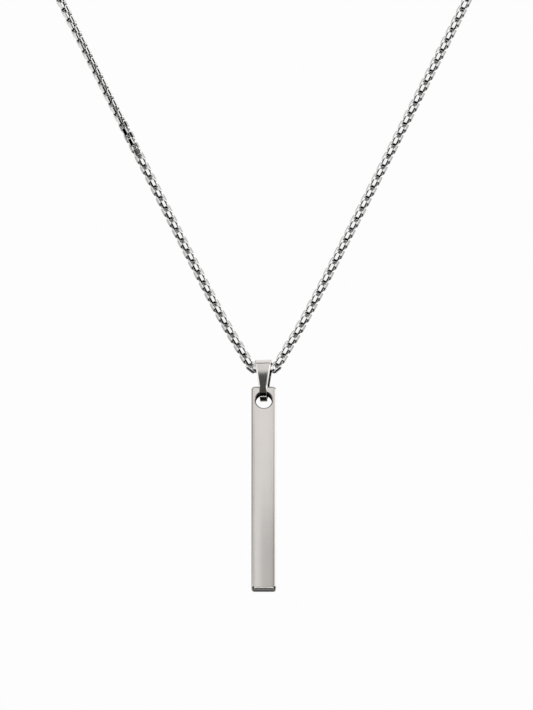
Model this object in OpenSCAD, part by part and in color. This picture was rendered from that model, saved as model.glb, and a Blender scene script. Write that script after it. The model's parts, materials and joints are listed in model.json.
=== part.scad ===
// A necklace with an upright bar pendant on a tapered strap bail.
// The chain is one loop that hangs from the nape of a neck, in its worn form.
// Millimetres, +Z up, the pendant's face towards -Y.
// The origin is where the inner side of the clasp rests against the nape.

/* [Bar] */
// Width of the bar across its face
bar_w = 5.9; // [5:0.1:8]
// Height of the bar
bar_h = 50; // [30:1:70]
// Thickness of the bar from face to back
bar_t = 3.2; // [2.4:0.1:3.6]
// Rounding of the four upright edges
edge_r = 0.6; // [0.2:0.1:1]
// Rounding of the corners seen from the front
corner_r = 0.7; // [0.3:0.1:1.2]
// Bevel round the top and bottom ends
end_bevel = 0.35; // [0.1:0.05:0.6]
// Diameter of the hole that the bail goes through
hole_d = 3.9; // [3.4:0.1:4.4]
// Hole centre below the top end
hole_drop = 3.4; // [3.2:0.1:5]
// Bevel round each mouth of the hole
hole_bevel = 0.25; // [0.1:0.05:0.4]

/* [Bail] */
// Width of the strap where it goes over the chain
bail_top_w = 3.9; // [3.2:0.1:4.4]
// Width of the strap where it goes through the hole
bail_bottom_w = 1.7; // [1.2:0.1:2.2]
// Thickness of the strap
bail_t = 0.55; // [0.4:0.05:0.8]
// Room inside the strap from front to back
bail_room = 3.7; // [3.6:0.1:5]
// Chain centre down to the centre of the strap's lower turn
bail_reach = 5.5; // [5:0.1:7]
// Outer radius of the strap's two upper corners
bail_corner_r = 1.3; // [0.9:0.1:2]
// Bevel along the outer edges of the two leaves
bail_bevel = 0.3; // [0.1:0.05:0.35]
// Turn of the bail about the upright, with its right side towards the back
bail_turn = 5; // [0:1:6]

/* [Chain] */
// Outer diameter of the chain, across its links
chain_d = 2.2; // [1.6:0.1:2.4]
// Half of the level stretch of chain that lies under the bail's top
bend_flat = 1.2; // [0.6:0.1:1.6]
// Radius of the chain's bends at the bail's two sides
bend_r = 2.4; // [2.2:0.1:3.5]

/* [Clasp] */
// Diameter of the plain barrel clasp
clasp_d = 4; // [3.6:0.1:5]
// Length of the clasp
clasp_l = 13; // [10:0.5:18]
// Bevel round each end of the clasp
clasp_bevel = 0.5; // [0.2:0.1:0.8]
// Depth of the sockets that take the chain's ends
socket_depth = 2; // [1:0.5:4]

/* [Fits] */
// Running gap between the chain and the bail's upper edges
chain_gap = 0.12; // [0.06:0.02:0.3]
// Gap between the bar's hole and the strap that it hangs on
hang_gap = 0.16; // [0.06:0.02:0.3]
// Gap round the chain's ends inside the clasp
socket_gap = 0.12; // [0.05:0.01:0.2]

/* [Hidden] */
$fn = 64;
cut = 1;
chain_r = chain_d / 2;
chain_sides = 8;
bevel_angle = 45;
least_round = 0.2;

// Where the chain's centre line crosses the middle of the bail
front_y = -120;
front_z = -190;
// Lean of the strands from the upright, just above the bail
strand_lean = 28;
// Right half of the chain's route, from above the bail round to the nape
STRAND = [
  [5.3, front_y, -185.3],
  [12, front_y, -173],
  [30, front_y, -136],
  [48, front_y, -98.5],
  [58, -114, -75],
  [65, -98, -53],
  [67, -77, -35],
  [63, -54, -21],
  [52, -31, -10],
  [36, -12, -4],
  [20, -1, -1]
];
nape_y = 2;
nape_z = 0;
rings_per_span = 3;
bend_steps = 4;

// Height of the chain's upper side where it leaves the bail, above its centre line in the bail
chain_flat_r = chain_r * cos(180 / chain_sides);
bail_edge_x = bail_top_w / 2 + chain_gap;
bend_at_edge = asin((bail_edge_x - bend_flat) / (bend_r - chain_flat_r));
chain_rise = bend_r - (bend_r - chain_flat_r) * cos(bend_at_edge);

// Inner and outer forms of the strap seen from the side
bail_in_r = bail_room / 2;
bail_out_r = bail_in_r + bail_t;
bail_in_top = chain_rise + chain_gap;
bail_out_top = bail_in_top + bail_t;

hole_r = hole_d / 2;
mouth_r = hole_r + hole_bevel;
bevel_y = bar_t / 2 - hole_bevel;

// Top of a round opening that rests on the turned strap's edges at one depth in the bar,
// below the centre of the strap's lower turn
function seat(depth, radius) =
  let (
    strap_y = (depth + bail_bottom_w / 2 * sin(bail_turn)) / cos(bail_turn),
    strap_x = bail_bottom_w / 2 * cos(bail_turn) + strap_y * sin(bail_turn)
  )
  sqrt(pow(bail_in_r, 2) - pow(strap_y, 2)) - radius + sqrt(pow(radius, 2) - pow(strap_x, 2));

// The hole hangs on the strap either at its mouths or just inside their bevels
crown_drop = min(seat(bevel_y, hole_r), seat(bar_t / 2, mouth_r) + hole_bevel) - hang_gap;
crown_z = -bail_reach - crown_drop;
taper = atan((bail_top_w - bail_bottom_w) / 2 / (bail_in_top - crown_z));
hole_z = front_z + crown_z - hole_r;
bar_top_z = hole_z + hole_drop;

socket_r = chain_r + socket_gap;
chain_end_x = clasp_l / 2 - socket_depth + socket_gap;

// Route of the whole chain

function bend_point(angle) = [
  bend_flat + bend_r * sin(angle),
  front_y,
  front_z + bend_r * (1 - cos(angle))
];

clasp_points = [[clasp_l / 2, nape_y, nape_z], [chain_end_x, nape_y, nape_z]];

// Chosen points of the right half, with the bend below them and the clasp after them
right_points = concat(
  [for (step = [0 : bend_steps]) bend_point((90 - strand_lean) * step / bend_steps)],
  STRAND,
  clasp_points
);

// A smooth curve through b and c, with a and d as their outer neighbours
function curve_point(a, b, c, d, t) =
  0.5 * (2 * b + (c - a) * t + (2 * a - 5 * b + 4 * c - d) * pow(t, 2)
    + (3 * b - a - 3 * c + d) * pow(t, 3));

function clamped(points, index) = points[max(0, min(len(points) - 1, index))];

// The bend and the clasp's ends are close already, so only the spans between them are divided
function span_steps(index) =
  index <= bend_steps || index >= len(right_points) - len(clasp_points) ? 1 : rings_per_span;

right_route = concat(
  [for (index = [0 : len(right_points) - 2], step = [0 : span_steps(index) - 1])
    curve_point(
      clamped(right_points, index - 1),
      right_points[index],
      right_points[index + 1],
      clamped(right_points, index + 2),
      step / span_steps(index)
    )],
  [right_points[len(right_points) - 1]]
);

left_route = [for (index = [len(right_route) - 1 : -1 : 0])
  [-right_route[index][0], right_route[index][1], right_route[index][2]]];

chain_route = concat(left_route, right_route);

// Tube swept along a route

function unit(v) = v / norm(v);

function heading(route, index) =
  unit(route[min(len(route) - 1, index + 1)] - route[max(0, index - 1)]);

// Each ring's side direction is the one before it, turned as little as the route turns
function side_directions(route, index, last) =
  index == len(route) ? [] :
  let (
    ahead = heading(route, index),
    side = unit(last - ahead * (last * ahead))
  )
  concat([side], side_directions(route, index + 1, side));

function ring(centre, ahead, side, radius, sides) =
  let (other = cross(ahead, side))
  [for (i = [0 : sides - 1])
    centre + radius * (side * cos(360 * (i + 0.5) / sides) + other * sin(360 * (i + 0.5) / sides))];

module tube(route, radius, sides) {
  side_list = side_directions(route, 0, [0, 1, 0]);
  rings = [for (index = [0 : len(route) - 1])
    ring(route[index], heading(route, index), side_list[index], radius, sides)];
  points = [for (one = rings) each one];
  last = (len(route) - 1) * sides;
  walls = [for (index = [0 : len(route) - 2], i = [0 : sides - 1])
    let (a = index * sides + i, b = index * sides + (i + 1) % sides)
    [a, b, b + sides, a + sides]];
  start_cap = [[for (i = [sides - 1 : -1 : 0]) i]];
  end_cap = [[for (i = [0 : sides - 1]) last + i]];
  polyhedron(points = points, faces = concat(start_cap, walls, end_cap), convexity = 10);
}

// Outline of the strap seen from the side, x from front to back and y upwards
module strap_outline(half_depth, top, round_r) {
  translate([0, -bail_reach])
    circle(r = half_depth);
  translate([-half_depth, -bail_reach])
    square([2 * half_depth, bail_reach + top - round_r]);
  translate([-half_depth + round_r, -bail_reach])
    square([2 * (half_depth - round_r), bail_reach + top]);
  for (side = [-1, 1])
    translate([side * (half_depth - round_r), top - round_r])
      circle(r = round_r);
}

// A block whose lower face bevels one outer edge of one leaf
module leaf_bevel(side, face) {
  reach = bail_top_w + bail_reach + bail_room;
  translate([side * bail_top_w / 2, face * bail_out_r, bail_in_top])
    rotate([0, side * taper, 0])
      rotate([0, 0, side * face * bevel_angle])
        translate([side * (reach / 2 - bail_bevel * sin(bevel_angle)), 0, 0])
          cube([reach, 2 * reach, 4 * reach], center = true);
}

module strap_front() {
  low = bail_reach + bail_out_r + cut;
  polygon([
    [-bail_top_w / 2, bail_out_top + cut],
    [-bail_top_w / 2, bail_in_top],
    [-bail_bottom_w / 2, crown_z],
    [-bail_bottom_w / 2, -low],
    [bail_bottom_w / 2, -low],
    [bail_bottom_w / 2, crown_z],
    [bail_top_w / 2, bail_in_top],
    [bail_top_w / 2, bail_out_top + cut]
  ]);
}

module chain() {
  color("silver")
    tube(chain_route, chain_r, chain_sides);
}

module clasp() {
  color("silver")
    translate([0, nape_y, nape_z])
      rotate([0, 90, 0])
        difference() {
          union() {
            cylinder(d = clasp_d, h = clasp_l - 2 * clasp_bevel, center = true);
            for (side = [0, 1])
              mirror([0, 0, side])
                translate([0, 0, clasp_l / 2 - clasp_bevel])
                  cylinder(d1 = clasp_d, d2 = clasp_d - 2 * clasp_bevel, h = clasp_bevel);
          }
          for (side = [0, 1])
            mirror([0, 0, side])
              translate([0, 0, clasp_l / 2 - socket_depth])
                cylinder(r = socket_r, h = socket_depth + cut);
        }
}

module bail() {
  color("darkgray")
    translate([0, front_y, front_z])
      rotate([0, 0, -bail_turn])
        difference() {
          intersection() {
            rotate([90, 0, 90])
              linear_extrude(height = bail_top_w + 2 * cut, center = true)
                difference() {
                  strap_outline(bail_out_r, bail_out_top, bail_corner_r);
                  strap_outline(bail_in_r, bail_in_top, max(least_round, bail_corner_r - bail_t));
                }
            rotate([90, 0, 0])
              linear_extrude(height = 2 * (bail_out_r + cut), center = true)
                strap_front();
          }
          for (side = [-1, 1], face = [-1, 1])
            leaf_bevel(side, face);
        }
}

// Outline of the bar seen from above, with its four upright edges rounded
module bar_section() {
  square([bar_w - 2 * edge_r, bar_t], center = true);
  square([bar_w, bar_t - 2 * edge_r], center = true);
  for (x = [-1, 1], y = [-1, 1])
    translate([x * (bar_w / 2 - edge_r), y * (bar_t / 2 - edge_r)])
      circle(r = edge_r);
}

// Outline of the bar seen from the front, with its corners rounded
module bar_face() {
  square([bar_w - 2 * corner_r, bar_h], center = true);
  square([bar_w, bar_h - 2 * corner_r], center = true);
  for (x = [-1, 1], z = [-1, 1])
    translate([x * (bar_w / 2 - corner_r), z * (bar_h / 2 - corner_r)])
      circle(r = corner_r);
}

// Outline of the bar seen from the side, with its ends bevelled
module bar_side() {
  y = bar_t / 2;
  z = bar_h / 2;
  polygon([
    [-y, z - end_bevel], [-y + end_bevel, z], [y - end_bevel, z], [y, z - end_bevel],
    [y, -z + end_bevel], [y - end_bevel, -z], [-y + end_bevel, -z], [-y, -z + end_bevel]
  ]);
}

module bar() {
  color("gainsboro")
    difference() {
      translate([0, front_y, bar_top_z - bar_h / 2])
        intersection() {
          linear_extrude(height = bar_h, center = true)
            bar_section();
          rotate([90, 0, 0])
            linear_extrude(height = bar_t + 2 * cut, center = true)
              bar_face();
          rotate([90, 0, 90])
            linear_extrude(height = bar_w + 2 * cut, center = true)
              bar_side();
        }
      translate([0, front_y, hole_z])
        rotate([90, 0, 0]) {
          cylinder(r = hole_r, h = bar_t + 2 * cut, center = true);
          for (side = [0, 1])
            mirror([0, 0, side])
              translate([0, 0, bevel_y])
                cylinder(r1 = hole_r, r2 = mouth_r + cut, h = hole_bevel + cut);
        }
    }
}

chain();
clasp();
bail();
bar();
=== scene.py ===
"""A steel necklace: an upright bar pendant on a tapered strap bail, hung from a chain of thick links.

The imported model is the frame. Each sub-assembly is a class that holds its sizes in millimetres,
works its surfaces out with numpy and dresses them in one finish. Meshes are in metres. Names that
end in _r are radii, in _w widths and in _h heights.
"""

from __future__ import annotations

import json
import logging
import math
from dataclasses import dataclass
from enum import Enum

import bmesh
import bpy
import numpy as np
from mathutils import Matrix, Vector


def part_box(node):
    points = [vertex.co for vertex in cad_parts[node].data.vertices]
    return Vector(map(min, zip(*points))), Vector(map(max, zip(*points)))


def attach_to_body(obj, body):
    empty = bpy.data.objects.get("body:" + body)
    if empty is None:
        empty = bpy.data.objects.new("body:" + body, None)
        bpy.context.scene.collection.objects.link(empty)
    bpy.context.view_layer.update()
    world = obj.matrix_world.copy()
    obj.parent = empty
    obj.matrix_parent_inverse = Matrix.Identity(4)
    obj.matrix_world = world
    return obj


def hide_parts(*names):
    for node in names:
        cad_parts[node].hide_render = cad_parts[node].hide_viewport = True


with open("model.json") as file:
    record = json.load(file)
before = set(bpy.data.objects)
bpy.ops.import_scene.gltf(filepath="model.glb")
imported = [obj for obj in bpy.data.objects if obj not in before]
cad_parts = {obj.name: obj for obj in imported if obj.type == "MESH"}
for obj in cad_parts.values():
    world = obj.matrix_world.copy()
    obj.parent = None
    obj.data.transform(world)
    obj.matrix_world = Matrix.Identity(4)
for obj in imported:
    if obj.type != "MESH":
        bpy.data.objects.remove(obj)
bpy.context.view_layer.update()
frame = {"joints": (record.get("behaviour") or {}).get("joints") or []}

LOG = logging.getLogger("necklace")
MM = 0.001
JOINTS = {joint["name"]: joint for joint in frame["joints"]}

# Name of the mark on the points of a bore
BORE = "bore"

# Width of the flat strip beside each bevel, in millimetres
BEVEL_SUPPORT = 0.05

# How far a rounding reaches past a 45 degree corner, as a share of its radius
CORNER_REACH = math.tan(math.pi / 8)

# Points closer than this are merged, in millimetres
MERGE = 0.0005


class Axis(Enum):
    """Directions of a fine grain in a piece."""

    ACROSS = 0
    DEEP = 1
    UPRIGHT = 2


def linear(hex_colour: str) -> tuple[float, float, float, float]:
    """Turns an sRGB hex colour into linear light.

    The darkest tones lie on the sRGB curve's straight foot, and the rest on its power curve.

    Args:
        hex_colour: Six hex digits, with or without a leading hash.

    Returns:
        Red, green, blue and an alpha of 1.
    """
    digits = hex_colour.lstrip("#")
    channels = [int(digits[place:place + 2], 16) / 255 for place in (0, 2, 4)]
    return (*(c / 12.92 if c <= 0.04045 else ((c + 0.055) / 1.055) ** 2.4 for c in channels), 1.0)


def add_node(
    tree: bpy.types.NodeTree,
    kind: str,
    inputs: dict[str | int, object] | None = None,
    **settings: object,
) -> bpy.types.Node:
    """Adds one node with its settings, values and links.

    Args:
        tree: The node tree that gets it.
        kind: The node's type name.
        inputs: Socket names or numbers, each with a value or with the output that feeds it.
        settings: The node's own properties.

    Returns:
        The new node.
    """
    node = tree.nodes.new(kind)
    for name, value in settings.items():
        setattr(node, name, value)
    for name, value in (inputs or {}).items():
        if isinstance(value, bpy.types.NodeSocket):
            tree.links.new(value, node.inputs[name])
        else:
            node.inputs[name].default_value = value
    return node


def unit(vectors: np.ndarray) -> np.ndarray:
    """Each row divided by its own length."""
    return vectors / np.linalg.norm(vectors, axis=1, keepdims=True)


def places_along(run: np.ndarray, curve: np.ndarray, length: np.ndarray) -> np.ndarray:
    """Places at given lengths along a curve, in proportion between its points.

    Args:
        run: Length run at each point of the curve.
        curve: The points, one to a row.
        length: The lengths to look up.

    Returns:
        The places, one to a row.
    """
    return np.stack([np.interp(length, run, column) for column in curve.T], 1)


def grid_faces(rows: int, columns: int, close_rows: bool, close_columns: bool) -> np.ndarray:
    """Quads of a grid whose points are numbered row after row.

    Each quad joins a point to the next in its row and to the two below them, and a closed
    direction joins its last point to its first.

    Args:
        rows: Number of rows.
        columns: Number of points in a row.
        close_rows: True where the last row meets the first.
        close_columns: True where each row is a ring.

    Returns:
        An array of four point numbers a quad.
    """
    row = np.arange(rows if close_rows else rows - 1)[:, None]
    column = np.arange(columns if close_columns else columns - 1)[None, :]
    below = (row + 1) % rows
    right = (column + 1) % columns
    corners = (
        row * columns + column,
        row * columns + right,
        below * columns + right,
        below * columns + column,
    )
    return np.stack(corners, -1).reshape(-1, 4)


def softened_bevel(
    cut: np.ndarray | float,
    soft: np.ndarray | float,
    steps: int,
) -> tuple[np.ndarray, np.ndarray]:
    """Profile of a 45 degree bevel whose two edges are rounded off.

    The angle runs from 0, flat on the face, to 90 degrees, flat on the side. Up to 45 degrees the
    point lies on a circle of the soft radius that touches the face, and past it on one that
    touches the side. A flat support point before and after keeps the face and side shading flat.

    Args:
        cut: Width of the bevel, measured along the face, for each place on the path.
        soft: Radius of the two rounded edges, for each place on the path.
        steps: Number of steps from the face to the side, an even number.

    Returns:
        How far in from the side, and how far down from the face, each profile point lies. Both
        arrays have a row for each place and a column for each profile point.
    """
    angle = np.linspace(0, np.pi / 2, steps + 1)[None, :]
    first_half = np.arange(steps + 1)[None, :] <= steps // 2
    cut, soft = np.atleast_1d(cut)[:, None], np.atleast_1d(soft)[:, None]
    reach = cut + soft * CORNER_REACH
    inset = np.where(first_half, reach, soft) - soft * np.sin(angle)
    depth = np.where(first_half, soft, reach) - soft * np.cos(angle)
    inset = np.hstack([inset[:, :1] + BEVEL_SUPPORT, inset, inset[:, -1:]])
    depth = np.hstack([depth[:, :1], depth, depth[:, -1:] + BEVEL_SUPPORT])
    return inset, depth


def add_piece(name: str, points: np.ndarray, faces: np.ndarray) -> bpy.types.Object:
    """Puts points and faces into a new smooth-shaded object at the origin.

    Args:
        name: The piece's name.
        points: Places in millimetres, in the frame's axes.
        faces: Point numbers of each face.

    Returns:
        The new object.
    """
    mesh = bpy.data.meshes.new(name)
    mesh.from_pydata((points * MM).tolist(), [], faces.tolist())
    mesh.polygons.foreach_set("use_smooth", np.ones(len(mesh.polygons), bool))
    mesh.update()
    piece = bpy.data.objects.new(name, mesh)
    bpy.context.scene.collection.objects.link(piece)
    return piece


def face_outwards(piece: bpy.types.Object) -> None:
    """Merges doubled points and turns every face of a closed shape outwards.

    Args:
        piece: The piece to mend.
    """
    mesh = bmesh.new()
    mesh.from_mesh(piece.data)
    bmesh.ops.remove_doubles(mesh, verts=mesh.verts, dist=MERGE * MM)
    bmesh.ops.recalc_face_normals(mesh, faces=mesh.faces)
    open_edges = sum(1 for edge in mesh.edges if not edge.is_manifold)
    mesh.to_mesh(piece.data)
    mesh.free()
    LOG.info("%s: %d faces, %d open edges", piece.name, len(piece.data.polygons), open_edges)


@dataclass(frozen=True)
class SteelFinish:
    """Stainless steel with one polish. Steel is a plain metal, so its look is all in its gloss.

    Tint and shade are the two tones of its slow waves. The bend is how far the normal leans for
    each millimetre from the crown's centre, along each axis. The painted bore shade is a dark dull
    tone, not a metal's, painted where a piece marks its bore to stand in for the shade inside the hole.
    """

    slot: str
    tint: str
    shade: str
    roughness: float
    roughness_spread: float
    wave_mm: float
    wave_depth_mm: float
    grain_mm: float
    grain_depth_mm: float
    grain_axis: Axis
    grain_stretch: float = 60.0
    crown_bend: tuple[float, ...] = ()
    crown_centre_mm: tuple[float, ...] = ()
    painted_bore_shade: str = ""

    def material(self) -> bpy.types.Material:
        """Builds the finish from its own nodes.

        Slow waves left by polishing change the tone and the slope a little, a fine grain lies
        along one axis, and a crown bows a face that a polishing wheel has worn at its edges.

        Returns:
            The material.
        """
        material = bpy.data.materials.new(self.slot)
        material.use_nodes = True
        tree = material.node_tree
        tree.nodes.clear()
        place = add_node(tree, "ShaderNodeTexCoord").outputs["Object"]
        waves = add_node(tree, "ShaderNodeTexNoise", {
            "Vector": place, "Scale": 1 / (self.wave_mm * MM), "Detail": 2.0, "Roughness": 0.5,
        })
        stretch = [1.0, 1.0, 1.0]
        stretch[self.grain_axis.value] = 1 / self.grain_stretch
        along = add_node(tree, "ShaderNodeMapping", {
            "Vector": place, "Scale": [s / (self.grain_mm * MM) for s in stretch],
        })
        grain = add_node(tree, "ShaderNodeTexNoise", {
            "Vector": along.outputs["Vector"], "Scale": 1.0, "Detail": 3.0, "Roughness": 0.6,
        })
        tone = add_node(tree, "ShaderNodeMix", {
            "Factor": waves.outputs["Fac"], "A": linear(self.tint), "B": linear(self.shade),
        }, data_type="RGBA")
        metal: dict[str, object] = {"Metallic": 1.0}
        # Painted shade: the bore is painted a dark dull tone without gloss, which stands in for the shade
        # inside the hole
        if self.painted_bore_shade:
            bore = add_node(tree, "ShaderNodeAttribute", attribute_name=BORE).outputs["Fac"]
            tone = add_node(tree, "ShaderNodeMix", {
                "Factor": bore, "A": tone.outputs["Result"], "B": linear(self.painted_bore_shade),
            }, data_type="RGBA")
            bare = add_node(tree, "ShaderNodeMath", {0: 1.0, 1: bore}, operation="SUBTRACT")
            # Steel takes no notice of the specular level, and at 0 the painted bore shade has no gloss
            metal = {"Metallic": bare.outputs["Value"], "Specular IOR Level": 0.0}
        gloss = add_node(tree, "ShaderNodeMapRange", {
            "Value": grain.outputs["Fac"], "From Min": 0.3, "From Max": 0.7,
            "To Min": self.roughness - self.roughness_spread,
            "To Max": self.roughness + self.roughness_spread,
        })
        slope = add_node(tree, "ShaderNodeBump", {
            "Height": waves.outputs["Fac"], "Distance": self.wave_depth_mm * MM, "Strength": 1.0,
            "Normal": self.crown(tree, place),
        })
        slope = add_node(tree, "ShaderNodeBump", {
            "Height": grain.outputs["Fac"], "Distance": self.grain_depth_mm * MM, "Strength": 1.0,
            "Normal": slope.outputs["Normal"],
        })
        shader = add_node(tree, "ShaderNodeBsdfPrincipled", {
            "Base Color": tone.outputs["Result"], "Roughness": gloss.outputs["Result"],
            "Normal": slope.outputs["Normal"], **metal,
        })
        add_node(tree, "ShaderNodeOutputMaterial", {"Surface": shader.outputs["BSDF"]})
        return material

    def crown(self, tree: bpy.types.NodeTree, place: bpy.types.NodeSocket) -> bpy.types.NodeSocket:
        """Bows the surface by turning its normal outwards in step with the distance from a centre.

        Args:
            tree: The material's nodes.
            place: The Object coordinates.

        Returns:
            The normal.
        """
        facing = add_node(tree, "ShaderNodeNewGeometry").outputs["Normal"]
        if not self.crown_bend:
            return facing
        lean = add_node(tree, "ShaderNodeMapping", {
            "Vector": place,
            "Location": [-centre * bend for centre, bend in zip(self.crown_centre_mm, self.crown_bend)],
            "Scale": [bend / MM for bend in self.crown_bend],
        })
        turned = add_node(tree, "ShaderNodeVectorTransform", {
            "Vector": lean.outputs["Vector"],
        }, vector_type="VECTOR", convert_from="OBJECT", convert_to="WORLD")
        bowed = add_node(tree, "ShaderNodeVectorMath", {
            0: facing, 1: turned.outputs["Vector"],
        }, operation="ADD")
        return add_node(tree, "ShaderNodeVectorMath", {
            0: bowed.outputs["Vector"],
        }, operation="NORMALIZE").outputs["Vector"]


def attach(piece: bpy.types.Object, finish: SteelFinish, body: str, node: str) -> None:
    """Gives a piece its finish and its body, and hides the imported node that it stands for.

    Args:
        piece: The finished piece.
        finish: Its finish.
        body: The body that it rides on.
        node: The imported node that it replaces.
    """
    piece.data.materials.append(finish.material())
    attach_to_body(piece, body)
    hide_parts(node)


@dataclass
class Bar:
    """The upright bar with its bevelled round hole. Its outer size comes from the frame."""

    edge_r: float = 0.6
    corner_r: float = 0.7
    end_bevel: float = 0.35
    hole_r: float = 1.95
    hole_bevel: float = 0.25
    soft_edge: float = 0.09
    support: float = 0.25
    bevel_steps: int = 12
    corner_steps: int = 10
    hole_sides: int = 96

    def __post_init__(self) -> None:
        """Reads the bar's box and hole from the frame."""
        low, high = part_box("bar")
        self.low = np.array(low) / MM
        self.high = np.array(high) / MM
        self.hole = np.array(JOINTS["bar_swing"]["pos_m"]) / MM

    def outline(self) -> tuple[np.ndarray, np.ndarray]:
        """Rounded rectangle seen from the front.

        Each corner is a quarter circle of the corner radius, and a support point stands on
        either side of it so that the straight sides stay flat.

        Returns:
            Points and outward directions, each with x and z columns.
        """
        half = np.array([self.high[0] - self.low[0], self.high[2] - self.low[2]]) / 2
        middle = np.array([self.high[0] + self.low[0], self.high[2] + self.low[2]]) / 2
        turn = np.linspace(0, np.pi / 2, self.corner_steps + 1)
        points, directions = [], []
        for corner in range(4):
            angle = turn + corner * np.pi / 2
            out = np.stack([np.cos(angle), np.sin(angle)], 1)
            centre = middle + (half - self.corner_r) * np.sign(out[self.corner_steps // 2])
            arc = centre + self.corner_r * out
            ahead = self.support * np.stack([-out[:, 1], out[:, 0]], 1)
            points += [arc[:1] - ahead[:1], arc, arc[-1:] + ahead[-1:]]
            directions += [out[:1], out, out[-1:]]
        return np.vstack(points), np.vstack(directions)

    def shell(self) -> tuple[np.ndarray, np.ndarray]:
        """The outer skin: an edge profile carried round the outline from face to back.

        Where the outline faces sideways the profile is a full round, where it faces up or down
        it is a bevel with soft edges, and it blends between them by the square of the
        direction's upright part.

        Returns:
            Points and quads. The first and last columns are the rims of the front and back.
        """
        places, out = self.outline()
        upright = out[:, 1] ** 2
        soft = self.edge_r + (self.soft_edge - self.edge_r) * upright
        side_cut = self.edge_r * (1 - CORNER_REACH)
        cut = side_cut + (self.end_bevel - side_cut) * upright
        inset, depth = softened_bevel(cut, soft, self.bevel_steps)
        inset = np.hstack([inset, inset[:, ::-1]])
        x = places[:, :1] - inset * out[:, :1]
        y = np.hstack([self.low[1] + depth, self.high[1] - depth[:, ::-1]])
        z = places[:, 1:] - inset * out[:, 1:]
        return np.stack([x, y, z], -1).reshape(-1, 3), grid_faces(*x.shape, True, False)

    def hole_wall(self) -> tuple[np.ndarray, np.ndarray]:
        """The hole: a bevelled profile turned about the hole's axis.

        Returns:
            Points and quads. The first and last columns are the rims of the front and back.
        """
        inset, depth = softened_bevel(self.hole_bevel, self.soft_edge, self.bevel_steps)
        radius = self.hole_r + np.hstack([inset, inset[:, ::-1]])
        angle = np.linspace(0, 2 * np.pi, self.hole_sides, endpoint=False)[:, None]
        x = self.hole[0] + radius * np.cos(angle)
        y = np.hstack([self.low[1] + depth, self.high[1] - depth[:, ::-1]])
        z = self.hole[2] + radius * np.sin(angle)
        points = np.stack([x, np.broadcast_to(y, x.shape), z], -1).reshape(-1, 3)
        return points, grid_faces(*x.shape, True, False)

    def build(self) -> bpy.types.Object:
        """Joins the skin and the hole, and fills the flat front and back between their rims.

        Returns:
            The bar.
        """
        skin, skin_faces = self.shell()
        wall, wall_faces = self.hole_wall()
        points = np.vstack([skin, wall])
        faces = np.vstack([skin_faces, wall_faces + len(skin)])
        piece = add_piece("bar_pendant", points, faces)
        mesh = bmesh.new()
        mesh.from_mesh(piece.data)
        rims = [edge for edge in mesh.edges if edge.is_boundary]
        for depth in (self.low[1], self.high[1]):
            rim = [edge for edge in rims if abs(edge.verts[0].co.y - depth * MM) < self.edge_r * MM]
            bmesh.ops.triangle_fill(mesh, use_beauty=True, edges=rim)
        for face in mesh.faces:
            face.smooth = True
        mesh.to_mesh(piece.data)
        mesh.free()
        face_outwards(piece)
        self.mark_bore(piece)
        return piece

    def mark_bore(self, piece: bpy.types.Object) -> None:
        """Marks the hole's straight wall and the inner rounding of its bevels, where the finish paints
        shade.

        Both lie within a quarter of the soft edge of the hole's radius, and the bevels' slopes
        lie further out.

        Args:
            piece: The bar.
        """
        places = np.empty(len(piece.data.vertices) * 3, np.float32)
        piece.data.vertices.foreach_get("co", places)
        away = places.reshape(-1, 3)[:, [0, 2]] / MM - self.hole[[0, 2]]
        inside = np.linalg.norm(away, axis=1) < self.hole_r + self.soft_edge / 4
        mark = piece.data.attributes.new(BORE, "FLOAT", "POINT")
        mark.data.foreach_set("value", inside.astype(np.float32))

    def dress(self, piece: bpy.types.Object) -> None:
        """Dresses the bar.

        Args:
            piece: The bar.
        """
        # Stainless steel, buffed: a mirror softened by fine upright wheel marks, with faces that
        # the wheel has bowed a little, and painted shade, a dark dull tone, in the bore
        steel = SteelFinish(
            slot="bar_steel", tint="#D6D1CC", shade="#CFCBC8", roughness=0.1, roughness_spread=0.02,
            wave_mm=4.0, wave_depth_mm=0.003, grain_mm=0.15, grain_depth_mm=0.0002,
            grain_axis=Axis.UPRIGHT, crown_bend=(1 / 60, 1 / 40, 1 / 900),
            crown_centre_mm=tuple((self.low + self.high) / 2), painted_bore_shade="#2A2826",
        )
        attach(piece, steel, "bar", "bar")


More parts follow.
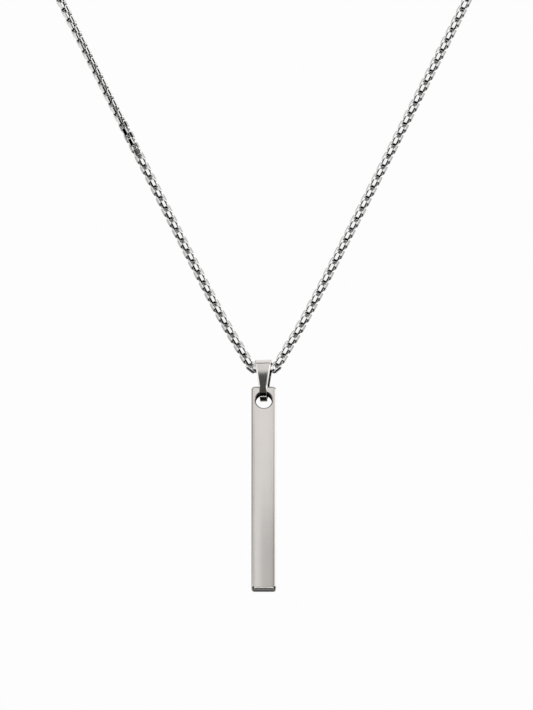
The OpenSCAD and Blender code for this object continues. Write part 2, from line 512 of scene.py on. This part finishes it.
@dataclass
class Bail:
    """The strap bail: a bent strip, wide over the chain and narrow through the bar's hole.

    The bevel of its outer edges is slight below the hole's crown and at the top, and grows to
    its full width between them.
    """

    top_w: float = 3.9
    bottom_w: float = 1.7
    thickness: float = 0.55
    reach: float = 5.5
    corner_r: float = 1.3
    bulge: float = 0.086
    turn_deg: float = 5.0
    bevel: float = 0.3
    least_bevel: float = 0.05
    bevel_start: float = 0.2
    bevel_growth: float = 1.0
    bevel_fade: float = 0.7
    bevel_end: float = 0.1
    soft_edge: float = 0.06
    inner_bevel: float = 0.03
    inner_soft_edge: float = 0.042
    bevel_steps: int = 6
    bend_points: int = 49
    corner_points: int = 13
    leaf_points: int = 25
    flat_points: int = 9

    def __post_init__(self) -> None:
        """Reads the bail's place and height from the frame."""
        self.middle = np.array(JOINTS["bail_swing"]["pos_m"]) / MM
        hole = np.array(JOINTS["bar_swing"]["pos_m"]) / MM
        low, high = (np.array(corner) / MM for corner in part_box("bail"))
        self.out_top = high[2] - self.middle[2]
        self.in_top = self.out_top - self.thickness
        self.out_r = self.middle[2] - self.reach - low[2]
        self.in_r = self.out_r - self.thickness
        self.crown_z = hole[2] - self.middle[2] + Bar.hole_r

    def outline(self) -> tuple[np.ndarray, np.ndarray]:
        """The strap's inner side seen from the side of the necklace.

        It is a half circle below, two leaves that bow out a little, and two rounded corners with
        a flat top between them.

        Returns:
            Points and outward directions, each with front-to-back and upright columns.
        """
        corner = self.corner_r - self.thickness
        below = np.linspace(np.pi, 2 * np.pi, self.bend_points)
        quarter = np.linspace(0, np.pi / 2, self.corner_points)
        low_z, high_z = -self.reach, self.in_top - corner
        height = np.linspace(0, 1, self.leaf_points)[1:-1]
        leaf_z = low_z + (high_z - low_z) * height
        bow = self.in_r + self.bulge * np.sin(np.pi * height)
        tilt = -self.bulge * np.pi * np.cos(np.pi * height) / (high_z - low_z)
        flat = np.linspace(self.in_r - corner, corner - self.in_r, self.flat_points)[1:-1]
        parts = [
            (self.in_r * np.cos(below), low_z + self.in_r * np.sin(below), np.cos(below), np.sin(below)),
            (bow, leaf_z, np.ones_like(bow), tilt),
            (self.in_r - corner + corner * np.cos(quarter), high_z + corner * np.sin(quarter),
             np.cos(quarter), np.sin(quarter)),
            (flat, np.full_like(flat, self.in_top), np.zeros_like(flat), np.ones_like(flat)),
            (corner - self.in_r - corner * np.sin(quarter), high_z + corner * np.cos(quarter),
             -np.sin(quarter), np.cos(quarter)),
            (-bow[::-1], leaf_z[::-1], -np.ones_like(bow), tilt[::-1]),
        ]
        table = np.hstack([np.stack(part) for part in parts])
        return table[:2].T, table[2:].T

    def half_width(self, z: np.ndarray) -> np.ndarray:
        """Half of the strap's width, which tapers evenly from the top to the hole's crown."""
        return np.interp(z, [self.crown_z, self.in_top], [self.bottom_w / 2, self.top_w / 2])

    def outer_bevel(self, z: np.ndarray) -> np.ndarray:
        """Width of the bevel on the strap's outer edges, which changes evenly between four heights.

        Args:
            z: Heights above the chain's centre.

        Returns:
            The bevel's width at each height.
        """
        start = self.crown_z + self.bevel_start
        end = self.in_top - self.bevel_end
        return np.interp(
            z,
            [start, start + self.bevel_growth, end - self.bevel_fade, end],
            [self.least_bevel, self.bevel, self.bevel, self.least_bevel],
        )

    def build(self) -> bpy.types.Object:
        """Carries a strip's profile, bevelled on its outer side, round the closed outline.

        Returns:
            The bail.
        """
        places, out = self.outline()
        cut = self.outer_bevel(places[:, 1])
        inset, depth = softened_bevel(cut, np.full_like(cut, self.soft_edge), self.bevel_steps)
        inner_cut = np.full_like(cut, self.inner_bevel)
        inner_soft = np.full_like(cut, self.inner_soft_edge)
        under, rise = softened_bevel(inner_cut, inner_soft, self.bevel_steps)
        lift = np.hstack([self.thickness - depth, rise[:, ::-1]])
        lift = np.hstack([lift, lift[:, ::-1]])
        aside = np.hstack([inset, under[:, ::-1]])
        depth_line = places[:, :1] + out[:, :1] * lift
        height = places[:, 1:] + out[:, 1:] * lift
        side = np.repeat([1.0, -1.0], aside.shape[1])
        across = side * (self.half_width(height) - np.hstack([aside, aside[:, ::-1]]))
        turn = math.radians(-self.turn_deg)
        x = self.middle[0] + across * math.cos(turn) - depth_line * math.sin(turn)
        y = self.middle[1] + across * math.sin(turn) + depth_line * math.cos(turn)
        points = np.stack([x, y, self.middle[2] + height], -1).reshape(-1, 3)
        piece = add_piece("strap_bail", points, grid_faces(*x.shape, True, True))
        face_outwards(piece)
        return piece

    def dress(self, piece: bpy.types.Object) -> None:
        """Dresses the bail.

        Args:
            piece: The bail.
        """
        # Stainless strip, drawn and bent: bright, with marks along its length
        steel = SteelFinish(
            slot="bail_steel", tint="#D6D3CF", shade="#CBC8C4", roughness=0.09, roughness_spread=0.02,
            wave_mm=2.0, wave_depth_mm=0.003, grain_mm=0.15, grain_depth_mm=0.0002,
            grain_axis=Axis.UPRIGHT,
        )
        attach(piece, steel, "bail", "bail")


@dataclass
class Route:
    """The chain's centre line: a bend inside the bail, a line through listed points round the neck, the
    clasp.
    """

    bend_flat: float = 1.2
    bend_r: float = 2.4
    strand_lean: float = 28.0
    bend_steps: int = 4
    front_y: float = -120.0
    front_z: float = -190.0
    nape_y: float = 2.0
    nape_z: float = 0.0
    end_x: float = 4.6
    table_steps: int = 60

    def right_points(self) -> np.ndarray:
        """Chosen points of the right half.

        Returns:
            Places from the middle of the bail round to the clasp, one to a row.
        """
        lean = np.radians(np.linspace(0, 90 - self.strand_lean, self.bend_steps + 1))
        bend = np.stack([
            self.bend_flat + self.bend_r * np.sin(lean),
            np.full_like(lean, self.front_y),
            self.front_z + self.bend_r * (1 - np.cos(lean)),
        ], 1)
        strand = np.array([
            [5.3, self.front_y, -185.3],
            [12, self.front_y, -173],
            [30, self.front_y, -136],
            [48, self.front_y, -98.5],
            [58, -114, -75],
            [65, -98, -53],
            [67, -77, -35],
            [63, -54, -21],
            [52, -31, -10],
            [36, -12, -4],
            [20, -1, -1],
        ])
        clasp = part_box("clasp")[1].x / MM
        end = np.array([[clasp, self.nape_y, self.nape_z], [self.end_x, self.nape_y, self.nape_z]])
        return np.vstack([[[0.0, self.front_y, self.front_z]], bend, strand, end])

    def table(self) -> tuple[np.ndarray, np.ndarray]:
        """A smooth curve through the chosen points, and the length run along it.

        Between two points it is the cubic whose slopes at them are half the step between their
        neighbours.

        Returns:
            Lengths from the middle of the bail, and the places there.
        """
        points = self.right_points()
        last = len(points) - 1
        span = np.repeat(np.arange(last), self.table_steps)
        t = np.tile(np.linspace(0, 1, self.table_steps, endpoint=False), last)[:, None]
        before, start = points[np.maximum(span - 1, 0)], points[span]
        end, after = points[span + 1], points[np.minimum(span + 2, last)]
        curve = 0.5 * (
            2 * start
            + (end - before) * t
            + (2 * before - 5 * start + 4 * end - after) * t ** 2
            + (3 * start - before - 3 * end + after) * t ** 3
        )
        curve = np.vstack([curve, points[-1:]])
        run = np.concatenate([[0], np.cumsum(np.linalg.norm(np.diff(curve, axis=0), axis=1))])
        return run, curve


@dataclass
class LinkChain:
    """About four hundred thick links, each bent into a rounded box at right angles to the next.

    Lengths along the chain start at the middle of the bail and are negative on the left, where
    the chain is twisted about itself past a certain length.
    """

    pitch: float = 1.475
    outer_r: float = 1.15
    thickness: float = 0.52
    end_thickness: float = 0.68
    play: float = 0.02
    strip_w: float = 1.24
    flat_w: float = 0.66
    side_h: float = 0.12
    shoulder_deg: tuple[float, float] = (16.0, 40.0)
    corner_r: float = 0.1
    corner_steps: int = 2
    slope_step: float = 0.3
    neck_y: float = -60.0
    blend_y: tuple[float, float] = (-119.0, -95.0)
    twist_run: tuple[float, float] = (-72.0, -62.0)
    twist_deg: tuple[float, float] = (-45.0, 0.0)

    def link(self) -> tuple[np.ndarray, np.ndarray, np.ndarray]:
        """One link: strip domed on its outer side, bent into a rounded box as long as the pitch.

        The strip's section has a flat inside, two upright sides, a sloping shoulder above each
        and a flat crown. The normals swing evenly over the shoulders and round the ring's four
        corners, and every other side keeps its own.

        Returns:
            Points as columns along the chain, across it and along the link's axis, quads, and a
            normal for each corner of each quad.
        """
        half, flat = self.strip_w / 2, self.flat_w / 2
        height = np.array([-half, half, half, flat, -flat, -half])
        lift = np.array([0, 0, self.side_h, self.thickness, self.thickness, self.side_h])
        turn = np.linspace(0, np.pi / 2, self.corner_steps + 1)
        angle = (turn[None, :] + np.arange(4)[:, None] * np.pi / 2).ravel()
        out = np.stack([np.cos(angle), np.sin(angle)], 1)
        inner = np.array([self.pitch / 2 + self.play, self.outer_r - self.thickness]) - self.corner_r
        sign = np.repeat(np.array([[1, 1], [-1, 1], [-1, -1], [1, -1]]), len(turn), axis=0)
        bore = inner * sign + self.corner_r * out
        thicker = out * np.array([self.end_thickness / self.thickness, 1.0])
        ring = bore[:, None, :] + lift[None, :, None] * thicker[:, None, :]
        points = np.dstack([ring, np.broadcast_to(height[None, :, None], (*ring.shape[:2], 1))])
        inward, high, low = np.radians([180.0, *self.shoulder_deg[::-1]])
        # Which way each side of the section faces at its two edges, turned from outwards to the axis
        lean = np.array([
            [inward, inward], [np.pi / 2] * 2, [high, low], [0, 0], [-low, -high], [-np.pi / 2] * 2,
        ])
        faces_out, faces_up = np.cos(lean), np.sin(lean)
        ends = np.stack([out, np.roll(out, -1, axis=0)], 1)
        corners = [(0, 0), (0, 1), (1, 1), (1, 0)]
        normals = np.stack([
            np.dstack([
                ends[:, None, end, :] * faces_out[None, :, edge, None],
                np.broadcast_to(faces_up[None, :, edge, None], (len(out), len(lean), 1)),
            ]) for end, edge in corners
        ], 2)
        return points.reshape(-1, 3), grid_faces(*ring.shape[:2], True, True), normals.reshape(-1, 3)

    def stations(self) -> tuple[np.ndarray, np.ndarray]:
        """Where each link stands, and how it is turned there.

        A link's plane holds the route's direction. Its axis starts from the direction that faces
        forwards on the front strands and outwards from the neck behind them, and is turned by the
        twist, and by a right angle on every other link.

        Returns:
            A place for each link, and its three directions as rows: along the chain, across it
            and along the link's axis.
        """
        run, curve = Route().table()
        count = int(run[-1] / self.pitch)
        number = np.arange(-count, count + 1)
        length = number * self.pitch
        side = np.where(number < 0, -1.0, 1.0)[:, None]
        mirror = np.hstack([side, np.ones_like(side), np.ones_like(side)])
        place = places_along(run, curve, abs(length)) * mirror
        after = places_along(run, curve, abs(length) + self.slope_step)
        before = places_along(run, curve, abs(length) - self.slope_step)
        ahead = (after - before) * mirror * side
        ahead[number == 0] = [1.0, 0.0, 0.0]
        ahead = unit(ahead)
        outward = place - np.array([0.0, self.neck_y, 0.0])
        outward[:, 2] = 0
        mix = np.clip((place[:, 1:2] - self.blend_y[0]) / (self.blend_y[1] - self.blend_y[0]), 0, 1)
        mix = mix * mix * (3 - 2 * mix)
        facing = (1 - mix) * np.array([0.0, -1.0, 0.0]) + mix * unit(outward)
        facing = unit(facing - ahead * np.sum(facing * ahead, axis=1, keepdims=True))
        across = np.cross(facing, ahead)
        twist = np.interp(length, self.twist_run, self.twist_deg)
        angle = np.radians(twist + 90.0 * (number % 2))[:, None]
        axis = facing * np.cos(angle) + across * np.sin(angle)
        return place, np.stack([ahead, np.cross(axis, ahead), axis], 1)

    def build(self) -> bpy.types.Object:
        """Sets a link at each pitch along the route.

        Returns:
            The chain.
        """
        points, faces, normals = self.link()
        place, turns = self.stations()
        solid = place[:, None, :] + points[None] @ turns
        offsets = np.arange(len(place))[:, None, None] * len(points)
        piece = add_piece("link_chain", solid.reshape(-1, 3), (faces[None] + offsets).reshape(-1, 4))
        piece.data.normals_split_custom_set((normals[None] @ turns).reshape(-1, 3).tolist())
        LOG.info("%s: %d links", piece.name, len(place))
        return piece

    def dress(self, piece: bpy.types.Object) -> None:
        """Dresses the chain.

        Args:
            piece: The chain.
        """
        # Stainless links, tumbled to a mirror: white crowns beside near black shoulders
        steel = SteelFinish(
            slot="chain_steel", tint="#F6F6F5", shade="#ECECEB", roughness=0.03, roughness_spread=0.01,
            wave_mm=1.2, wave_depth_mm=0.002, grain_mm=0.2, grain_depth_mm=0.0002,
            grain_axis=Axis.ACROSS,
        )
        attach(piece, steel, "necklace", "chain")


@dataclass
class Clasp:
    """The plain barrel clasp at the nape, with a blind socket for each end of the chain."""

    bevel: float = 0.5
    soft_edge: float = 0.08
    bevel_steps: int = 8
    socket_r: float = 1.22
    socket_depth: float = 2.0
    mouth_bevel: float = 0.08
    mouth_soft_edge: float = 0.03
    mouth_steps: int = 4
    sides: int = 72

    def build(self) -> bpy.types.Object:
        """Turns the barrel's profile about the clasp's long axis.

        Returns:
            The clasp.
        """
        low, high = (np.array(corner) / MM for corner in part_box("clasp"))
        middle = (low + high) / 2
        half, radius = high[0] - middle[0], high[1] - middle[1]
        edge = softened_bevel(self.bevel, self.soft_edge, self.bevel_steps)
        inset, depth = (part[0] for part in edge)
        rim = softened_bevel(self.mouth_bevel, self.mouth_soft_edge, self.mouth_steps)
        mouth, sink = (part[0] for part in rim)
        along = np.concatenate([
            [0], half - depth[::-1], half - sink, [half - self.socket_depth] * 2,
        ])
        out = np.concatenate([
            [radius], radius - inset[::-1], self.socket_r + mouth, [self.socket_r, 0],
        ])
        along = np.concatenate([-along[::-1], along[1:]])
        out = np.concatenate([out[::-1], out[1:]])
        angle = np.linspace(0, 2 * np.pi, self.sides, endpoint=False)[:, None]
        x = np.broadcast_to(middle[0] + along, (self.sides, len(along)))
        y = middle[1] + out * np.cos(angle)
        z = middle[2] + out * np.sin(angle)
        points = np.stack([x, y, z], -1).reshape(-1, 3)
        piece = add_piece("barrel_clasp", points, grid_faces(*x.shape, True, False))
        face_outwards(piece)
        return piece

    def dress(self, piece: bpy.types.Object) -> None:
        """Dresses the clasp.

        Args:
            piece: The clasp.
        """
        # Stainless barrel, turned and polished: bright, with fine marks
        steel = SteelFinish(
            slot="clasp_steel", tint="#D6D4D1", shade="#CCCAC7", roughness=0.08, roughness_spread=0.02,
            wave_mm=2.0, wave_depth_mm=0.002, grain_mm=0.1, grain_depth_mm=0.0004,
            grain_axis=Axis.DEEP,
        )
        attach(piece, steel, "necklace", "clasp")


@dataclass(frozen=True)
class Card:
    """A soft-edged panel of the studio, placed by direction from the necklace, in degrees."""

    azimuth: float
    elevation: float
    width: float
    height: float
    soft: float
    level: float


@dataclass(frozen=True)
class Softbox:
    """A square lamp with a soft light, placed and sized in metres, with its power in watts."""

    name: str
    place: tuple[float, float, float]
    size: float
    power: float


@dataclass
class Studio:
    """The camera, the pale floor and the soft surroundings. The floor's sizes are in metres."""

    px_per_mm: float = 4.22
    elevation: float = -17.9
    image_px: tuple[int, int] = (533, 710)
    hole_px: tuple[float, float] = (263.8, 399.9)
    lens_mm: float = 500.0
    sensor_mm: float = 36.0
    clip_ratio: float = 10.0
    floor_z: float = -1.3
    floor_r: float = 3.2
    floor_sides: int = 96
    floor_tone: str = "#F4F4F4"
    floor_roughness: float = 0.7
    backdrop_tone: str = "#FDFDFD"
    surround: float = 1.05

    # Each card lies over the ones before it
    cards: tuple[Card, ...] = (
        # Bright and grey panels at the sides, behind and overhead
        Card(azimuth=100, elevation=18, width=50, height=36, soft=8, level=1.7),
        Card(azimuth=-100, elevation=5, width=30, height=18, soft=6, level=1.7),
        Card(azimuth=-85, elevation=22, width=66, height=17, soft=6, level=0.45),
        Card(azimuth=-150, elevation=34, width=50, height=68, soft=20, level=0.6),
        Card(azimuth=0, elevation=80, width=360, height=30, soft=16, level=1.3),
        Card(azimuth=134, elevation=38, width=56, height=24, soft=8, level=0.6),
        # The dark lower half, all the way round
        Card(azimuth=0, elevation=-44, width=360, height=80, soft=8, level=0.02),
        # Behind: grey at both sides, dark in the middle, and two lighter panels there, which the
        # bar's back and its lower end mirror
        Card(azimuth=126, elevation=-9, width=80, height=34, soft=6, level=0.55),
        Card(azimuth=-126, elevation=-9, width=80, height=34, soft=6, level=0.55),
        Card(azimuth=180, elevation=-47, width=110, height=84, soft=10, level=0.08),
        Card(azimuth=180, elevation=-7, width=22, height=12, soft=4, level=0.5),
        Card(azimuth=180, elevation=-22.5, width=60, height=5, soft=5, level=0.8),
        # Black in front up to just above the horizon, which the links' lower shoulders mirror
        Card(azimuth=0, elevation=-44, width=154, height=106, soft=4, level=0.0),
        # Lighter panels in that black, one low in front and one at each side
        Card(azimuth=4, elevation=-22, width=20, height=36, soft=8, level=0.4),
        Card(azimuth=81, elevation=-10, width=14, height=26, soft=4, level=0.8),
        Card(azimuth=-81, elevation=-10, width=14, height=26, soft=4, level=0.8),
        # Dark cards high in front, the wide ones for the links' upper shoulders
        Card(azimuth=-15, elevation=32, width=17, height=9, soft=2, level=0.0),
        Card(azimuth=60, elevation=38, width=74, height=23, soft=6, level=0.02),
        Card(azimuth=-60, elevation=38, width=74, height=23, soft=6, level=0.02),
        Card(azimuth=58, elevation=58, width=72, height=30, soft=8, level=0.08),
        Card(azimuth=-58, elevation=58, width=72, height=30, soft=8, level=0.08),
        # Upright cards near the front, for the lines along the bar's long edges
        Card(azimuth=-10, elevation=-4, width=9, height=48, soft=2, level=0.09),
        Card(azimuth=18, elevation=5, width=39, height=22.6, soft=2, level=0.72),
        Card(azimuth=9, elevation=4, width=8, height=34, soft=2, level=0.4),
        Card(azimuth=9, elevation=0, width=8, height=33, soft=3, level=0.08),
        # A bright strip low in front, which the bevel of the bar's lower end mirrors
        Card(azimuth=0, elevation=-73, width=120, height=4, soft=3, level=2.2),
    )
    softboxes: tuple[Softbox, ...] = (
        Softbox(name="left_softbox", place=(-1.1, -1.0, 0.9), size=0.7, power=9.0),
        Softbox(name="right_softbox", place=(1.3, -0.6, 0.6), size=0.6, power=6.0),
    )

    def camera(self) -> None:
        """A very long lens at the photo's angle, aimed so that the hole lands where it does there."""
        scene = bpy.context.scene
        tilt = math.radians(self.elevation)
        ahead = Vector((0, math.cos(tilt), -math.sin(tilt)))
        up = Vector((0, math.sin(tilt), math.cos(tilt)))
        mouth = Vector(JOINTS["bar_swing"]["pos_m"])
        mouth.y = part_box("bar")[0].y
        aside = (self.image_px[0] / 2 - self.hole_px[0]) / self.px_per_mm * MM
        above = (self.hole_px[1] - self.image_px[1] / 2) / self.px_per_mm * MM
        distance = self.image_px[1] / self.px_per_mm * MM * self.lens_mm / self.sensor_mm
        data = bpy.data.cameras.new("camera")
        data.lens = self.lens_mm
        data.sensor_width = self.sensor_mm
        data.clip_start = distance / self.clip_ratio
        data.clip_end = distance * self.clip_ratio
        camera = bpy.data.objects.new("camera", data)
        camera.location = mouth + Vector((aside, 0, 0)) + up * above - ahead * distance
        camera.rotation_mode = "QUATERNION"
        camera.rotation_quaternion = ahead.to_track_quat("-Z", "Y")
        scene.collection.objects.link(camera)
        scene.camera = camera
        scene.view_settings.view_transform = "Standard"

    def floor(self) -> None:
        """A plain pale round floor, which the metal doesn't mirror."""
        mesh = bmesh.new()
        bmesh.ops.create_circle(mesh, cap_ends=True, segments=self.floor_sides, radius=self.floor_r)
        data = bpy.data.meshes.new("floor")
        mesh.to_mesh(data)
        mesh.free()
        floor = bpy.data.objects.new("floor", data)
        floor.location = (0, 0, self.floor_z)
        floor.visible_glossy = False
        bpy.context.scene.collection.objects.link(floor)
        paint = bpy.data.materials.new("pale_floor")
        paint.use_nodes = True
        tree = paint.node_tree
        tree.nodes.clear()
        shader = add_node(tree, "ShaderNodeBsdfPrincipled", {
            "Base Color": linear(self.floor_tone), "Roughness": self.floor_roughness,
        })
        add_node(tree, "ShaderNodeOutputMaterial", {"Surface": shader.outputs["BSDF"]})
        data.materials.append(paint)

    def surroundings(self) -> None:
        """A white tent with cards and openings in it, which the metal mirrors.

        Azimuth 0 is in front of the necklace and turns towards +X, and elevation is above the
        horizon. A card's edges fade over its soft width. What the camera sees past the necklace
        is plain white.
        """
        world = bpy.data.worlds.new("studio")
        world.use_nodes = True
        tree = world.node_tree
        tree.nodes.clear()
        direction = add_node(tree, "ShaderNodeTexCoord").outputs["Generated"]
        part = add_node(tree, "ShaderNodeSeparateXYZ", {"Vector": direction}).outputs
        forwards = add_node(tree, "ShaderNodeMath", {0: part["Y"], 1: -1.0}, operation="MULTIPLY")
        azimuth = add_node(tree, "ShaderNodeMath", {
            0: part["X"], 1: forwards.outputs["Value"],
        }, operation="ARCTAN2").outputs["Value"]
        elevation = add_node(tree, "ShaderNodeMath", {0: part["Z"]}, operation="ARCSINE").outputs["Value"]
        level: bpy.types.NodeSocket | float = self.surround
        for card in self.cards:
            across = self.inside(tree, azimuth, card.azimuth, card.width, card.soft)
            upright = self.inside(tree, elevation, card.elevation, card.height, card.soft)
            weight = add_node(tree, "ShaderNodeMath", {0: across, 1: upright}, operation="MULTIPLY")
            level = add_node(tree, "ShaderNodeMix", {
                "Factor": weight.outputs["Value"], "A": level, "B": card.level,
            }).outputs["Result"]
        tent = add_node(tree, "ShaderNodeBackground", {"Color": level, "Strength": 1.0})
        plain = add_node(tree, "ShaderNodeBackground", {
            "Color": linear(self.backdrop_tone), "Strength": 1.0,
        })
        ray = add_node(tree, "ShaderNodeLightPath")
        mixed = add_node(tree, "ShaderNodeMixShader", {
            "Fac": ray.outputs["Is Camera Ray"], 1: tent.outputs[0], 2: plain.outputs[0],
        })
        add_node(tree, "ShaderNodeOutputWorld", {"Surface": mixed.outputs[0]})
        bpy.context.scene.world = world

    @staticmethod
    def inside(
        tree: bpy.types.NodeTree,
        angle: bpy.types.NodeSocket,
        centre: float,
        size: float,
        soft: float,
    ) -> bpy.types.NodeSocket:
        """How far a direction lies inside a card, measured one way.

        It is 1 inside and 0 outside, with a smooth step between them across the edge.

        Args:
            tree: The world's nodes.
            angle: The direction's azimuth or elevation, in radians.
            centre: The card's middle, in degrees.
            size: The card's width or height, in degrees.
            soft: The width of its faded edge, in degrees.

        Returns:
            The share.
        """
        away = add_node(tree, "ShaderNodeMath", {
            0: angle, 1: math.radians(centre),
        }, operation="SUBTRACT").outputs["Value"]
        turned = add_node(tree, "ShaderNodeMath", {
            0: away, 1: math.pi, 2: -math.pi,
        }, operation="WRAP").outputs["Value"]
        far = add_node(tree, "ShaderNodeMath", {0: turned}, operation="ABSOLUTE").outputs["Value"]
        return add_node(tree, "ShaderNodeMapRange", {
            "Value": far,
            "From Min": math.radians((size - soft) / 2),
            "From Max": math.radians((size + soft) / 2),
            "To Min": 1.0,
            "To Max": 0.0,
        }, interpolation_type="SMOOTHSTEP").outputs["Result"]

    def lamps(self) -> None:
        """Lights the floor from above and from the sides. The steel doesn't mirror the lamps."""
        target = Vector(JOINTS["bail_swing"]["pos_m"])
        for softbox in self.softboxes:
            data = bpy.data.lights.new(softbox.name, "AREA")
            data.shape = "SQUARE"
            data.size = softbox.size
            data.energy = softbox.power
            lamp = bpy.data.objects.new(softbox.name, data)
            lamp.location = softbox.place
            lamp.rotation_mode = "QUATERNION"
            lamp.rotation_quaternion = (target - Vector(softbox.place)).to_track_quat("-Z", "Y")
            lamp.visible_camera = False
            lamp.visible_glossy = False
            bpy.context.scene.collection.objects.link(lamp)

    def build(self) -> None:
        """Sets the whole studio up."""
        self.camera()
        self.floor()
        self.surroundings()
        self.lamps()


def main() -> None:
    """Builds the studio, then builds and dresses each sub-assembly."""
    logging.basicConfig(level=logging.INFO, format="%(name)s %(message)s")
    Studio().build()
    for part in (Bar(), Bail(), LinkChain(), Clasp()):
        piece = part.build()
        part.dress(piece)
        LOG.info("%s: dressed, %d faces", piece.name, len(piece.data.polygons))


if __name__ == "__main__":
    main()
